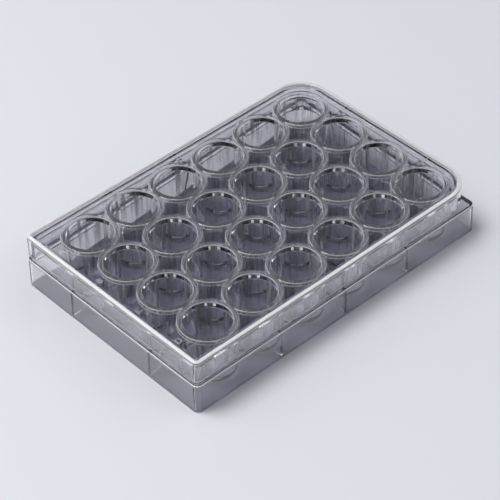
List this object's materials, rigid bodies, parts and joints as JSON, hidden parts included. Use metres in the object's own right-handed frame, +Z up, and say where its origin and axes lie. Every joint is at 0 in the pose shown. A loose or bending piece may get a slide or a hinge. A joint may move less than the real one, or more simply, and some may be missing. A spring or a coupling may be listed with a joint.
{
  "type": "multiwell culture plate with lid",
  "caption": "Clear multiwell laboratory plate with a rectangular base skirt, rows of round flat-bottomed wells and a loose, low lid with a stacking rim.",
  "frame": {"origin": "middle of the base footprint, on the bench plane", "axes": "+X along the long side, towards the two widely rounded upper corners; +Y along the short side; +Z up, out of the wells' mouths"},
  "size_m": [0.1278, 0.0854, 0.0216],
  "materials": {
    "clear_polystyrene": "clear, glossy, injection moulded",
    "clear_polystyrene_lid": "clear, glossy, injection moulded"
  },
  "bodies": {
    "root": {"plate": "clear_polystyrene", "lid": "clear_polystyrene_lid"}
  },
  "joints": []
}
